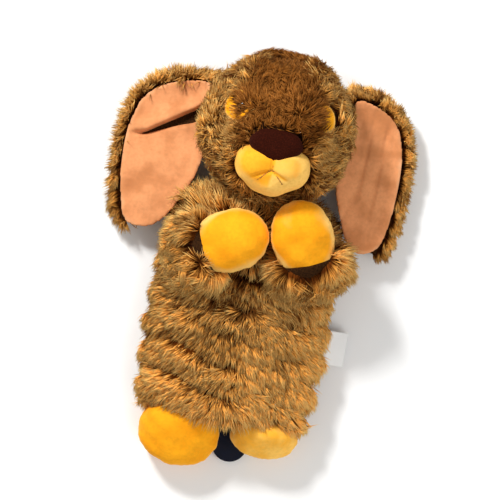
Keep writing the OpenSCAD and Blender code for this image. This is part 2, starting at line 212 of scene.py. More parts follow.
def velvet_finish(name, deep, soft):
    finish = Finish(name, Roughness=0.9, Specular_IOR_Level=0.08, Sheen_Weight=0.12, Sheen_Roughness=0.4,
                    Sheen_Tint=(0.35, 0.08, 0.03, 1))
    nap = finish.noise(1300.0, 3.0)
    finish.feed("Base Color", finish.mixed(nap.between(0.4, 0.8), deep, soft))
    finish.bump(nap, 0.3 * MM, 0.7)
    return finish.material


def weave_finish(name, colour, thread, threads_per_m, roughness, sheen=0.0):
    """Plain weave on the piece's own coordinates."""
    finish = Finish(name, Roughness=roughness, Specular_IOR_Level=0.25, Sheen_Weight=sheen)
    axes = finish.add("ShaderNodeSeparateXYZ", {}, finish.place())
    turns = 2 * math.pi * threads_per_m
    over = (axes["X"] * turns).math("SINE") * (axes["Y"] * turns).math("SINE")
    worn = finish.noise(180.0, 3.0)
    finish.feed("Base Color", finish.mixed((over * 0.5 + 0.5) * 0.5 + worn * 0.4, thread, colour))
    finish.bump(over, 0.12 * MM, 0.6)
    return finish.material


def gloss_finish(name, colour, roughness=0.12):
    finish = Finish(name, Roughness=roughness, Specular_IOR_Level=0.3)
    wear = finish.noise(700.0, 4.0)
    worn = tuple(c * 1.6 + 0.003 for c in colour)
    finish.feed("Base Color", finish.mixed(wear.between(0.45, 0.8), colour, worn))
    finish.feed("Roughness", wear.between(0.5, 0.9) * 0.1 + roughness)
    return finish.material


def plain_finish(name, colour, dark, scale, roughness, depth):
    """Fibrous or moulded stuff with uneven colour and a fine bump."""
    finish = Finish(name, Roughness=roughness)
    fibre = finish.noise(scale, 5.0)
    finish.feed("Base Color", finish.mixed(fibre.between(0.3, 0.7), dark, colour))
    finish.bump(fibre, depth * MM, 0.8)
    return finish.material


BODY_PILE = pile_finish(
    "body_pile",
    dark=((0.012, 0.002, 0.000), (0.060, 0.013, 0.001), (0.24, 0.070, 0.009)),
    light=((0.150, 0.036, 0.003), (1.00, 0.44, 0.080), (1.00, 0.68, 0.23)))
CROWN_PILE = pile_finish(
    "crown_pile",
    dark=((0.010, 0.002, 0.000), (0.055, 0.013, 0.001), (0.13, 0.038, 0.004)),
    light=((0.040, 0.009, 0.001), (0.33, 0.105, 0.012), (0.60, 0.24, 0.050)))
BACKING_BROWN = backing_finish("fur_backing", (0.050, 0.018, 0.004))
BACKING_DARK = backing_finish("crown_backing", (0.032, 0.010, 0.002))
GOLD_VELOUR = velour_finish("gold_velour", (0.90, 0.33, 0.004), (0.97, 0.40, 0.008), (0.98, 0.60, 0.16))
# A paler copy of the gold velour, painted light for the left foot.
LIT_GOLD_VELOUR = velour_finish("lit_gold_velour", (0.93, 0.42, 0.03), (0.98, 0.55, 0.10), (0.98, 0.70, 0.28))
MUZZLE_VELOUR = velour_finish("muzzle_velour", (0.93, 0.34, 0.008), (0.97, 0.42, 0.02), (0.97, 0.57, 0.13))
PINK_VELOUR = velour_finish("pink_velour", (0.56, 0.21, 0.075), (0.76, 0.31, 0.125), (0.86, 0.44, 0.22),
                            pile=0.3, sheen=0.35)
NOSE_VELVET = velvet_finish("nose_velvet", (0.020, 0.002, 0.000), (0.050, 0.006, 0.001))
NAVY_COTTON = weave_finish("navy_cotton", (0.006, 0.010, 0.030), (0.002, 0.003, 0.010), 1100, 0.85, 0.1)
LABEL_SATIN = weave_finish("label_satin", (0.97, 0.96, 0.94), (0.86, 0.85, 0.82), 2200, 0.35, 0.2)
EYE_BLACK = gloss_finish("eye_black", (0.004, 0.003, 0.003))
WASHER_WHITE = plain_finish("washer_white", (0.80, 0.80, 0.78), (0.70, 0.70, 0.68), 600, 0.4, 0.05)
CARD = plain_finish("tube_card", (0.46, 0.33, 0.19), (0.34, 0.23, 0.12), 420, 0.9, 0.15)
WADDING = plain_finish("wadding", (0.88, 0.88, 0.86), (0.74, 0.74, 0.72), 260, 1.0, 1.2)
THREAD = plain_finish("mouth_thread", (0.40, 0.15, 0.015), (0.26, 0.09, 0.008), 2400, 0.8, 0.2)


# ---- Making meshes ----

def points_of(mesh):
    places = np.empty(len(mesh.vertices) * 3, np.float32)
    mesh.vertices.foreach_get("co", places)
    return places.reshape(-1, 3).astype(float)


def set_points(mesh, places):
    mesh.vertices.foreach_set("co", np.asarray(places, np.float32).ravel())
    mesh.update()


def normals_of(mesh):
    normals = np.empty(len(mesh.vertices) * 3, np.float32)
    mesh.vertex_normals.foreach_get("vector", normals)
    return normals.reshape(-1, 3).astype(float)


def unit(vectors):
    return vectors / np.maximum(np.linalg.norm(vectors, axis=-1, keepdims=True), 1e-9)


def to_piece(form, name):
    """A bmesh as an object in the scene. The bmesh is spent."""
    mesh = bpy.data.meshes.new(name)
    form.to_mesh(mesh)
    form.free()
    piece = bpy.data.objects.new(name, mesh)
    bpy.context.scene.collection.objects.link(piece)
    return piece


def settle(piece):
    """Applies a piece's modifiers."""
    bpy.context.view_layer.update()
    shaped = piece.evaluated_get(bpy.context.evaluated_depsgraph_get())
    mesh = bpy.data.meshes.new_from_object(shaped)
    piece.modifiers.clear()
    piece.data = mesh
    return piece


def cad_form(nodes, convex):
    """CAD nodes' meshes in one bmesh: merged as they are, or as the convex form round them."""
    form = bmesh.new()
    for node in nodes:
        form.from_mesh(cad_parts[node].data)
    if not convex:
        bmesh.ops.remove_doubles(form, verts=form.verts, dist=0.01 * MM)
        return form
    bmesh.ops.delete(form, geom=form.faces[:] + form.edges[:], context="EDGES_FACES")
    bmesh.ops.convex_hull(form, input=form.verts)
    bmesh.ops.delete(form, geom=[point for point in form.verts if not point.link_faces], context="VERTS")
    return form


def softened(name, nodes, voxel, smoothing, convex=False, grow=0.0, form=None):
    """A CAD form remade with even faces and rounded edges, and grown a little to make up for the rounding."""
    piece = to_piece(form or cad_form(nodes, convex), name)
    remesh = piece.modifiers.new("even", "REMESH")
    remesh.mode = "VOXEL"
    remesh.voxel_size = voxel
    smooth = piece.modifiers.new("round", "SMOOTH")
    smooth.factor = 0.5
    smooth.iterations = smoothing
    settle(piece)
    if grow:
        set_points(piece.data, points_of(piece.data) + grow * normals_of(piece.data))
    piece.data.shade_smooth()
    return piece


FILLING_STEPS = 20
FILLING_PRESSURE = 4.0
FILLING_CAP = 3 * MM    # the furthest that a point moves as its piece is filled


def blown_up(piece):
    """Fills a closed piece as cloth under pressure."""
    before = points_of(piece.data)
    scene = bpy.context.scene
    cloth = piece.modifiers.new("filling", "CLOTH")
    cloth.settings.use_pressure = True
    cloth.settings.uniform_pressure_force = FILLING_PRESSURE
    cloth.settings.effector_weights.gravity = 0
    cloth.settings.quality = 6
    cloth.settings.tension_stiffness = 12
    cloth.settings.bending_stiffness = 0.4
    cloth.settings.mass = 0.15
    for step in range(1, FILLING_STEPS + 1):
        scene.frame_set(step)
    settle(piece)
    scene.frame_set(1)
    move = points_of(piece.data) - before
    far = np.linalg.norm(move, axis=1, keepdims=True)
    set_points(piece.data, before + move * np.minimum(1, FILLING_CAP / np.maximum(far, 1e-9)))
    return piece


def smoothed(piece, times, factor=0.5):
    smooth = piece.modifiers.new("round", "SMOOTH")
    smooth.factor = factor
    smooth.iterations = times
    settle(piece)
    return piece


def set_painted_sheen(piece, values):
    """Stores the painted sheen: how far each point turns to the pale side of its velour."""
    piece.data.attributes.new("rim", "FLOAT", "POINT").data.foreach_set(
        "value", np.clip(values, 0, 1).astype(np.float32))


def wave_noise(places, size, seed):
    """Smooth noise from -1 to 1 with bumps of about the given size, from a few plane waves."""
    rng = np.random.default_rng(seed)
    ways = unit(rng.normal(size=(7, 3))) * 2 * math.pi / (size * rng.uniform(0.8, 1.9, (7, 1)))
    return np.sin(places @ ways.T + rng.uniform(0, 2 * math.pi, 7)).sum(1) / 3.2


# ---- Pile ----

LOCK_SHOULDER = 0.62    # how far up a lock starts to taper


def lock_form():
    """One lock: a closed three-sided spike, one high, with a ring of points where it starts to taper."""
    lock = bmesh.new()
    bmesh.ops.create_cone(lock, cap_ends=True, segments=3, radius1=1, radius2=0, depth=1)
    bmesh.ops.translate(lock, verts=lock.verts, vec=(0, 0, 0.5))
    bmesh.ops.remove_doubles(lock, verts=lock.verts, dist=0.001)
    bmesh.ops.bisect_plane(lock, geom=lock.verts[:] + lock.edges[:] + lock.faces[:],
                           plane_co=(0, 0, LOCK_SHOULDER), plane_no=(0, 0, 1))
    lock.normal_update()
    return lock


class LockTemplate:
    """The lock's points, faces and map, as arrays to be repeated."""

    def __init__(self):
        lock = lock_form()
        lock.verts.index_update()
        self.points = np.array([v.co for v in lock.verts])
        self.faces = [[v.index for v in face.verts] for face in lock.faces]
        lock.free()
        self.height = self.points[:, 2]
        fuller = np.where((self.height > 0.1) & (self.height < 0.9), 0.85 / (1 - LOCK_SHOULDER), 1.0)
        self.across = self.points[:, :2] * fuller[:, None]
        self.across_map = np.arctan2(self.points[:, 1], self.points[:, 0]) / math.pi
        self.across_map[self.height > 0.9] = 0.0


TEMPLATE = LockTemplate()
MAP_HALF_WIDTH = 0.012  # of the lock's own stretch of the map, either side of its tone


def scatter(mesh, count, seed, wanted):
    """Random places on a mesh, even by area, with its normals. wanted gives each place's chance to stay."""
    mesh.calc_loop_triangles()
    corners = np.empty(len(mesh.loop_triangles) * 3, np.int32)
    mesh.loop_triangles.foreach_get("vertices", corners)
    corners = corners.reshape(-1, 3)
    points, normals = points_of(mesh), normals_of(mesh)
    a, b, c = (points[corners[:, k]] for k in range(3))
    areas = np.linalg.norm(np.cross(b - a, c - a), axis=1)
    rng = np.random.default_rng(seed)
    places, facing = np.empty((0, 3)), np.empty((0, 3))
    while len(places) < count:
        face = rng.choice(len(corners), size=count, p=areas / areas.sum())
        u, v = rng.random((2, count))
        u, v = np.where(u + v > 1, 1 - u, u), np.where(u + v > 1, 1 - v, v)
        share = np.stack([1 - u - v, u, v], 1)[:, :, None]
        at = (points[corners[face]] * share).sum(1)
        way = unit((normals[corners[face]] * share).sum(1))
        stays = rng.random(count) < wanted(at, way)
        if not stays.any():
            raise ValueError("no place on this bed is wanted")
        places, facing = np.vstack([places, at[stays]]), np.vstack([facing, way[stays]])
    return places[:count], facing[:count], rng


def grow_pile(name, body, bed, count, seed, finish, comb, tone, wanted, length=12 * MM, width=0.42 * MM,
              lift=0.6, drop=0.15, tuft=3.6 * MM, pull=0.72, swell=None, spread=0.34,
              lowest=None):
    """Covers a bed with locks.

    comb(places) is the way the pile is brushed, tone(places) how light it is from 0 to 1. lift and drop are
    how steeply a lock leaves the bed and ends. Locks of one tuft lean together, their tips drawn in by pull.
    """
    roots, normals, rng = scatter(bed, count, seed, wanted)
    tufts = int(np.clip(sum(face.area for face in bed.polygons) / tuft ** 2, 8, count // 4))
    own = nearest(roots[:tufts], roots)
    gather = pull * (roots[:tufts][own] - roots)
    if swell:
        roots = roots + swell(roots)[:, None] * normals
    lay = comb(roots) + spread * (rng.normal(size=(tufts, 3))[own] + 0.35 * rng.normal(size=(count, 3)))
    lay = unit(lay - (lay * normals).sum(1, keepdims=True) * normals)
    uneven = rng.normal(1, 0.3, (tufts, 1))[own] * rng.uniform(0.65, 1.35, (count, 1))
    steep = lift * np.clip(uneven, 0.15, 2)
    start = unit(normals * steep + lay * (1 - 0.45 * steep))
    end = unit(normals * drop + lay)
    tall = (length(roots) if callable(length) else length) * rng.uniform(0.7, 1.15, count)
    tall = (tall * rng.uniform(0.85, 1.12, tufts)[own])[:, None, None]
    thick = (width * rng.uniform(0.7, 1.35, count))[:, None, None]
    side = unit(np.cross(start, rng.normal(size=(count, 3))))
    other = np.cross(start, side)
    up = TEMPLATE.height[None, :, None]
    line = tall * (up * start[:, None] + 0.5 * up ** 2 * (end - start)[:, None])
    ring = thick * (TEMPLATE.across[None, :, :1] * side[:, None]
                    + TEMPLATE.across[None, :, 1:] * other[:, None])
    points = (roots - 0.4 * MM * normals)[:, None] + line + up ** 2 * gather[:, None] + ring
    if lowest is not None:
        pressed = lowest + 0.6 * MM * rng.random((count, 1))
        points[:, :, 2] = np.where(points[:, :, 2] < lowest, pressed, points[:, :, 2])
    light = tone(roots) + 0.24 * rng.normal(size=tufts)[own] + 0.10 * rng.normal(size=count)
    piece = repeat_lock(name, points, 0.03 + 0.94 * np.clip(light, 0, 1))
    piece.data.materials.append(finish)
    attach(piece, body)
    return piece


def nearest(centres, places):
    """The number of the nearest centre to each place."""
    tree = kdtree.KDTree(len(centres))
    for number, centre in enumerate(centres):
        tree.insert(centre, number)
    tree.balance()
    return np.array([tree.find(place)[1] for place in places])


def repeat_lock(name, points, tones):
    """One mesh of many locks, from each lock's points, mapped by its tone and height."""
    count, size = points.shape[:2]
    corners = np.concatenate([np.array(face) for face in TEMPLATE.faces])
    lengths = np.array([len(face) for face in TEMPLATE.faces])
    mesh = bpy.data.meshes.new(name)
    mesh.vertices.add(count * size)
    mesh.vertices.foreach_set("co", points.astype(np.float32).ravel())
    mesh.loops.add(count * len(corners))
    own_points = np.arange(count)[:, None] * size + corners
    mesh.loops.foreach_set("vertex_index", own_points.astype(np.int32).ravel())
    mesh.polygons.add(count * len(lengths))
    starts = np.concatenate([[0], np.cumsum(lengths)[:-1]])
    own_starts = np.arange(count)[:, None] * len(corners) + starts
    mesh.polygons.foreach_set("loop_start", own_starts.astype(np.int32).ravel())
    across = tones[:, None] + MAP_HALF_WIDTH * TEMPLATE.across_map[corners]
    up = np.broadcast_to(0.02 + 0.96 * TEMPLATE.height[corners], across.shape)
    uv = mesh.uv_layers.new(name=BAKE_MAP)
    uv.data.foreach_set("uv", np.stack([across, up], 2).astype(np.float32).ravel())
    mesh.update(calc_edges=True)
    mesh.shade_smooth()
    piece = bpy.data.objects.new(name, mesh)
    bpy.context.scene.collection.objects.link(piece)
    return piece


def bed_of(nodes, voxel=3 * MM, smoothing=8):
    """A smooth closed form round some CAD nodes, for pile to stand on. It isn't shown."""
    piece = softened("bed", nodes, voxel, smoothing, convex=True, grow=0.2 * MM)
    mesh = piece.data
    bpy.data.objects.remove(piece)
    return mesh


def span(*nodes):
    """The lowest and highest corners of some CAD nodes together."""
    corners = np.array([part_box(node) for node in nodes])
    return corners[:, 0].min(0), corners[:, 1].max(0)


def middle(*nodes):
    low, high = span(*nodes)
    return (low + high) / 2


def outside(points):
    """A measure of how far places lie outside the points' outline in plan, in metres: below 0 inside it."""
    turns = np.linspace(0, 2 * math.pi, 72, endpoint=False)
    ways = np.stack([np.cos(turns), np.sin(turns)])
    reach = (points[:, :2] @ ways).max(0)
    return lambda places: (places[:, :2] @ ways - reach).max(1)


def beyond(*nodes):
    """The same measure for the outline of some CAD nodes."""
    return outside(np.vstack([points_of(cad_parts[node].data) for node in nodes]))


def ease(values, low, high):
    """0 below low, 1 above high, and smooth between them."""
    t = np.clip((values - low) / (high - low), 0, 1)
    return t * t * (3 - 2 * t)


def flow(x, y, z):
    """Directions from their three parts, each a number or an array."""
    return np.stack(np.broadcast_arrays(x, y, z), 1).astype(float)


# ---- Glove ----

TORSO = ("torso_front", "torso_back")
TORSO_LOW, TORSO_HIGH = span(*TORSO)
TORSO_MID = (TORSO_LOW + TORSO_HIGH) / 2
HALF_W = (TORSO_HIGH[0] - TORSO_LOW[0]) / 2
# Where the painted shadow under the paws lies on the belly.
PAW_SHADOW_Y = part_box("paw_palm_right")[0][1] - 12 * MM


def across(places):
    """-1 at the right flank, 0 in the middle, 1 at the left flank."""
    return (places[:, 0] - TORSO_MID[0]) / HALF_W


def belly_comb(places):
    """Down and outwards on the belly, and up and outwards on the shoulders."""
    side = across(places)
    shoulder = ease(places[:, 1], TORSO_HIGH[1] - 42 * MM, TORSO_HIGH[1] - 8 * MM)
    stray = wave_noise(places, 30 * MM, 11)
    return flow(1.3 * side * np.abs(side + 0.001) ** -0.3 + 0.35 * stray,
                -0.9 + 1.7 * shoulder + 0.3 * wave_noise(places, 24 * MM, 12), 0)


def folds(places):
    """-1 in the hollows of the glove's crosswise folds, 1 on their crests."""
    slack = places * np.array([0.35, 1, 0.35])
    return wave_noise(slack, 11 * MM, 21)


def belly_tone(places):
    """Golden on the flanks and low down, with painted light on the crests of the folds and painted shade in
    their hollows, a painted shadow under the paws and painted shade under the chin.
    """
    low = 1 - ease(places[:, 1], TORSO_LOW[1] + 5 * MM, TORSO_LOW[1] + 75 * MM)
    # Painted shadow under the paws, and painted shade under the chin near the top of the torso.
    shade = np.exp(-((places[:, 1] - PAW_SHADOW_Y) / (16 * MM)) ** 2) * (1 - 0.6 * np.abs(across(places)))
    neck = ease(places[:, 1], TORSO_HIGH[1] - 24 * MM, TORSO_HIGH[1] - 8 * MM)
    return (0.52 + 0.32 * folds(places) + 0.24 * low - 0.30 * shade - 0.20 * neck
            + 0.24 * np.abs(across(places)) ** 2)


def belly_length(places):
    """Longest where it hangs over the middle of the hem and where it fills in the neck."""
    at_hem = 1 - ease(places[:, 1], TORSO_LOW[1], TORSO_LOW[1] + 15 * MM)
    over_hem = np.exp(-(across(places) / 0.5) ** 2) * at_hem
    shoulder = ease(places[:, 1], TORSO_HIGH[1] - 35 * MM, TORSO_HIGH[1] - 10 * MM)
    return (14 + 5 * over_hem + 8 * shoulder) * MM


def glove_pile():
    bed = bed_of(TORSO)
    length = TORSO_HIGH[1] - TORSO_LOW[1]
    cuts = [-math.inf, TORSO_LOW[1] + 0.34 * length, TORSO_LOW[1] + 0.64 * length, math.inf]
    for number, name in enumerate(("hem_pile", "belly_pile", "chest_pile")):
        def in_band(places, normals, low=cuts[number], high=cuts[number + 1]):
            inside = (places[:, 1] >= low) & (places[:, 1] < high)
            side = ease(normals[:, 2], -0.75, -0.1)
            below_hem = normals[:, 1] < -0.75
            return inside * side * ~below_hem
        grow_pile(name, "torso", bed, 19500, 100 + number, BODY_PILE, belly_comb, belly_tone, in_band,
                  length=belly_length, lift=0.5, tuft=4.4 * MM, pull=0.78, spread=0.26,
                  swell=lambda places: 3.0 * MM * folds(places), lowest=FLOOR_Z)
    grow_pile("back_pile", "torso", bed, 10000, 104, BODY_PILE,
              lambda places: flow(0.6 * across(places), -1, 0),
              # Painted light on the fold crests and painted shade in the fold hollows.
              lambda places: 0.42 + 0.12 * folds(places),
              lambda places, normals: (normals[:, 2] < -0.3) & (normals[:, 1] > -0.75),
              length=11 * MM, lift=0.3, lowest=FLOOR_Z)


# ---- Head ----

HEAD = ("head_gusset", "head_cheek_left", "head_cheek_right", "head_back")
HEAD_LOW, HEAD_HIGH = span(*HEAD)
HEAD_MID = (HEAD_LOW + HEAD_HIGH) / 2
HEAD_R = (HEAD_HIGH[0] - HEAD_LOW[0]) / 2
MUZZLE = ("muzzle_left", "muzzle_right", "muzzle_chin")
MUZZLE_MID = middle(*MUZZLE)
off_muzzle, off_nose = beyond(*MUZZLE), beyond("nose_pad")
off_patch = {side: beyond("eye_patch_" + side) for side in SIDES}
off_right_eye = beyond("eye_right")
GUSSET_HALF = (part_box("head_gusset")[1][0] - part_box("head_gusset")[0][0]) / 2


EYE_OUT = middle("eye_left")[0] - HEAD_MID[0]
EYE_Y = middle("eye_left")[1]


def bare_face(places):
    """True where the muzzle, the nose and the outer halves of the eye patches leave no room for pile."""
    bare = (off_muzzle(places) < -1.5 * MM) | (off_nose(places) < -2.0 * MM)
    for side, sign in SIDES.items():
        outer_half = sign * (places[:, 0] - HEAD_MID[0]) > EYE_OUT + (2.5 if side == "right" else -2.0) * MM
        bare |= (off_patch[side](places) < 0.8 * MM) & outer_half
    bare |= (off_right_eye(places) < 0) & (HEAD_MID[0] - places[:, 0] > EYE_OUT + 0.5 * MM)
    return (places[:, 2] > HEAD_MID[2]) & bare


def crown_comb(places):
    way = unit(places - MUZZLE_MID)
    swirl = wave_noise(places, 17 * MM, 31)
    return flow(1.3 * way[:, 0] + 0.6 * swirl, 0.7 * way[:, 1] + 0.45 * wave_noise(places, 15 * MM, 35), -0.2)


def cheek_comb(places):
    way = unit(places - MUZZLE_MID)
    return flow(way[:, 0], way[:, 1] - 0.5, -0.2) + 0.3 * wave_noise(places, 20 * MM, 32)[:, None]


def crown_tone(places):
    """Dark, with a rusty patch in the middle of the forehead."""
    off_patch_middle = np.linalg.norm(places[:, :2] - HEAD_MID[:2] - [0, 0.5 * HEAD_R], axis=1)
    rust = np.exp(-(off_patch_middle / (0.3 * HEAD_R)) ** 2)
    return 0.40 + 0.15 * wave_noise(places, 16 * MM, 33) + 0.16 * rust


def crown_length(places):
    """Longest where it falls over the inner halves of the eyes."""
    over_eyes = np.exp(-((np.abs(places[:, 0] - HEAD_MID[0]) - EYE_OUT + 3 * MM) / (7 * MM)) ** 2
                       - ((places[:, 1] - EYE_Y) / (10 * MM)) ** 2)
    return (10 + 5 * over_eyes) * MM


def head_lumps(places):
    return 2.2 * MM * wave_noise(places, 24 * MM, 36)


def head_pile():
    bed = bed_of(HEAD)

    def on_gusset(places, normals):
        half = GUSSET_HALF + 6 * MM * np.exp(-((places[:, 1] - EYE_Y) / (15 * MM)) ** 2)
        centre = np.abs(places[:, 0] - HEAD_MID[0]) < half
        above = places[:, 1] > MUZZLE_MID[1] + 5 * MM
        return centre & above & (normals[:, 2] > -0.35) & ~bare_face(places)

    grow_pile("crown_pile", "head", bed, 17000, 120, CROWN_PILE, crown_comb, crown_tone, on_gusset,
              length=crown_length, width=0.36 * MM, lift=0.75, drop=0.2, tuft=3.4 * MM, pull=0.7, spread=0.42,
              swell=head_lumps)
    for side, sign in SIDES.items():
        def on_cheek(places, normals, sign=sign):
            own = sign * (places[:, 0] - HEAD_MID[0]) > 0
            return own & (normals[:, 2] > -0.35) & ~bare_face(places) & ~on_gusset(places, normals)
        grow_pile("cheek_pile_" + side, "head", bed, 16000, 121 + sign, BODY_PILE, cheek_comb,
                  lambda places: 0.42 + 0.18 * wave_noise(places, 14 * MM, 34), on_cheek,
                  length=14 * MM, lift=0.5, tuft=4.2 * MM, pull=0.76, swell=head_lumps, lowest=FLOOR_Z)
    grow_pile("head_back_pile", "head", bed, 7000, 124, BODY_PILE,
              lambda places: unit(places - HEAD_MID) + np.array([0, -0.4, 0]),
              lambda places: 0.35 + 0.1 * wave_noise(places, 14 * MM, 34),
              lambda places, normals: normals[:, 2] <= -0.35, length=11 * MM, lift=0.3, lowest=FLOOR_Z)


def seam_lines(places):
    """How near places lie to the muzzle's seams in plan, from 0 to 1, and which lie past the middle seam."""
    stitch_low, stitch_high = span("mouth_stitching")
    fork = np.array([MUZZLE_MID[0], stitch_low[1] + 0.62 * (stitch_high[1] - stitch_low[1])])
    off = places[:, :2] - fork
    slant = np.abs(off[:, 0]) * 0.42 + off[:, 1]
    upper = np.exp(-(off[:, 0] / (1.1 * MM)) ** 2) * (off[:, 1] > -1 * MM)
    lower = np.exp(-(slant / (1.2 * MM)) ** 2) * (1 - ease(np.abs(off[:, 0]), 9 * MM, 16 * MM))
    return np.maximum(upper, lower), ease(off[:, 0], -1 * MM, 1 * MM)


def muzzle():
    """The muzzle's three pads, sewn into one dome with shallow seams, and the thread in the seams."""
    pad = softened("muzzle_velour", MUZZLE, 1.2 * MM, 12, convex=True, grow=0.5 * MM)
    places, normals = points_of(pad.data), normals_of(pad.data)
    seam, pale = seam_lines(places)
    facing = ease(normals[:, 2], 0.2, 0.8)
    dents = 0.5 * MM * wave_noise(places, 12 * MM, 41)
    places += (dents - 1.7 * MM * seam * facing)[:, None] * normals
    set_points(pad.data, places)
    # Painted light: the lobe past the middle seam is painted pale as if lit, the velour gets painted sheen at
    # its edges and below its middle, and painted shade in the seams.
    edge = 1 - ease(-off_muzzle(places), 1 * MM, 9 * MM)
    below = 1 - ease(places[:, 1], MUZZLE_MID[1] - 8 * MM, MUZZLE_MID[1] - 2 * MM)
    finish_pad(pad, "head", MUZZLE, MUZZLE_VELOUR,
               0.65 * pale + 0.6 * edge + 0.35 * below - 0.5 * seam)
    thread = to_piece(cad_form(["mouth_stitching"], False), "mouth_thread")
    finer = thread.modifiers.new("even", "REMESH")
    finer.mode = "VOXEL"
    finer.voxel_size = 0.45 * MM
    settle(thread)
    on_thread = points_of(thread.data)
    tree = kdtree.KDTree(len(places))
    for number, place in enumerate(places):
        tree.insert((place[0], place[1], 0 if normals[number][2] > 0 else 1), number)
    tree.balance()
    rest = np.array([places[tree.find((place[0], place[1], 0))[1]][2] for place in on_thread])
    on_thread[:, 2] += rest - on_thread[:, 2].max() + 0.1 * MM
    set_points(thread.data, on_thread)
    finish_pad(thread, "head", ["mouth_stitching"], THREAD, None)


EYE_EDGE = (0.5 * MM, 2.5 * MM)     # how far in from its edge an eye patch turns pale


def face_pads():
    """The muzzle, the nose and the two eye patches."""
    muzzle()
    nose = softened("nose_velvet", ["nose_pad"], 1.2 * MM, 8, grow=0.6 * MM)
    places = points_of(nose.data)
    low, high = span("nose_pad")
    beside = np.abs(places[:, 0] - (low[0] + high[0]) / 2) / ((high[0] - low[0]) / 2)
    above = ease(places[:, 1], (low[1] + high[1]) / 2, high[1])
    places[:, 1] += (above * (2.5 - 4.0 * beside ** 2) - 3.0) * MM
    places[:, 1] += 3.0 * MM * (1 - above) * np.exp(-(beside / 0.16) ** 2)
    set_points(nose.data, places)
    finish_pad(nose, "head", ["nose_pad"], NOSE_VELVET, None)
    for side in SIDES:
        node = "eye_patch_" + side
        patch = softened("eye_velour_" + side, [node], 0.9 * MM, 3, grow=0.3 * MM)
        edge = -off_patch[side](points_of(patch.data))
        # Painted sheen: pale along the patch's edge.
        finish_pad(patch, "head", [node], GOLD_VELOUR, 0.6 * (1 - ease(edge, *EYE_EDGE)))


def finish_pad(piece, body, nodes, finish, rim):
    """Gives a soft piece its finish and its place in the puppet, and hides the CAD nodes that it stands for.
    """
    # Stores the painted sheen for the velour to read.
    if rim is not None:
        set_painted_sheen(piece, rim)
    piece.data.materials.clear()
    piece.data.materials.append(finish)
    piece.data.shade_smooth()
    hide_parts(*nodes)
    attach(piece, body)
    return piece


# ---- Ears ----

# How far an ear's lining reaches past its CAD outline, beside the head and on the other side
LINING_PAST_INNER = {"left": 9.0 * MM, "right": 6.0 * MM}
LINING_PAST_OUTER = {"left": 2.0 * MM, "right": 4.5 * MM}
EAR_LOCK = {"left": 10 * MM, "right": 13 * MM}


def ear(side, sign):
    fur, lining = "ear_fur_" + side, "ear_lining_" + side
    body = side + "_ear"
    low, high = span(fur)
    centre = (low + high) / 2
    off_lining = beyond(lining)
    bed = bed_of([fur], voxel=2 * MM, smoothing=4)

    beside_head = unit(np.array([-sign * 0.85, -0.5]))
    middle_of_lining = middle(lining)[:2]
    past_inner, past_outer = LINING_PAST_INNER[side], LINING_PAST_OUTER[side]

    def head_side(places):
        """1 along the edge beside the head and the chest, which the lining covers, and 0 elsewhere."""
        return ease(unit(places[:, :2] - middle_of_lining) @ beside_head, 0.15, 0.5)

    def on_fur(places, normals):
        off = off_lining(places)
        round_lining = (off > 0.7 * past_outer) & (head_side(places) < 0.5)
        under_ear = (normals[:, 2] < 0) & (off < -7 * MM)
        return round_lining | under_ear

    def comb(places):
        way = unit((places - centre) / np.array([1, 1.6, 1]))
        return flow(way[:, 0], way[:, 1] - 0.3, 0.1)

    grow_pile("ear_pile_" + side, body, bed, 16000, 140 + sign, BODY_PILE, comb,
              lambda places: 0.52 + 0.20 * wave_noise(places, 14 * MM, 51), on_fur,
              length=EAR_LOCK[side], lift=0.7, drop=0.1, tuft=4.2 * MM, pull=0.76, lowest=FLOOR_Z)

    cloth = softened("ear_velour_" + side, [lining], 1.2 * MM, 3, grow=0.3 * MM)
    places = points_of(cloth.data)
    inward = -off_lining(places)
    along = (high[1] - places[:, 1]) / (high[1] - low[1])
    out = sign * (places[:, 0] - centre[0]) / (high[0] - low[0]) + 0.5
    rise = 2.5 * MM * (1 - ease(inward, 0, 8 * MM)) + 0.9 * MM * wave_noise(places, 26 * MM, 52 + sign)
    edge = (1 - ease(inward, 0, 10 * MM))[:, None]
    inner = head_side(places)[:, None]
    away = unit(places[:, :2] - middle_of_lining)
    places[:, :2] += edge * (past_inner * inner * beside_head + past_outer * (1 - inner) * away)
    if side == "left":
        places[:, 2] += rise + curl(along, out)
    else:
        lip, slot = fold(along, out)
        places[:, 2] += rise + MM * (6.0 * lip - 6.5 * slot)
        places[:, 1] -= 3.0 * MM * lip
    set_points(cloth.data, places)
    # Painted sheen: the lining turns pale along its edges, unevenly by noise.
    finish_pad(cloth, body, [lining], PINK_VELOUR,
               0.5 * (1 - ease(inward, 0, 4 * MM)) + 0.2 * wave_noise(places, 12 * MM, 53))


def fold(along, out):
    """The right lining is folded over at its top: its lip, and the slot under it that widens to the head."""
    line = 0.205 + 0.23 * out + 0.055 * out ** 2
    width = 0.009 + 0.058 * (1 - out) ** 1.3
    slot = np.exp(-((along - line) / width) ** 4) * (1 - ease(out, 0.72, 0.88))
    lip = np.exp(-((along - line + width + 0.03) / 0.045) ** 2) * (1 - ease(out, 0.7, 0.95))
    return lip, slot * (1 - lip)


def curl(along, out):
    """The left lining is half curled, with creases along it."""
    creases = sum(np.exp(-((out - place + 0.12 * (along - 0.4)) / 0.035) ** 2) for place in (0.36, 0.60))
    return MM * (2.4 * (out - 0.5) - 1.3 * creases * ease(along, 0.08, 0.3) * (1 - ease(along, 0.65, 0.9)))


# ---- Arms and legs ----

WRIST_SHARE = 0.32      # of a paw's length, from its middle to its wrist
WRIST_STRETCH = 0.2     # how much longer the wrist half of a paw is than its other half
PAW_PILE = 2.0 * MM     # how far the velour's pile stands off the paws and feet
SEAM_PINCH = 0.6 * MM
SEAM_PUCKERS = 26       # round a paw or a foot
PAW_UNEVEN = {"left": 0.35, "right": 0.15}      # how patchy the painted sheen on a paw is
SLEEVE_LOCK = {"left": 18 * MM, "right": 15 * MM}


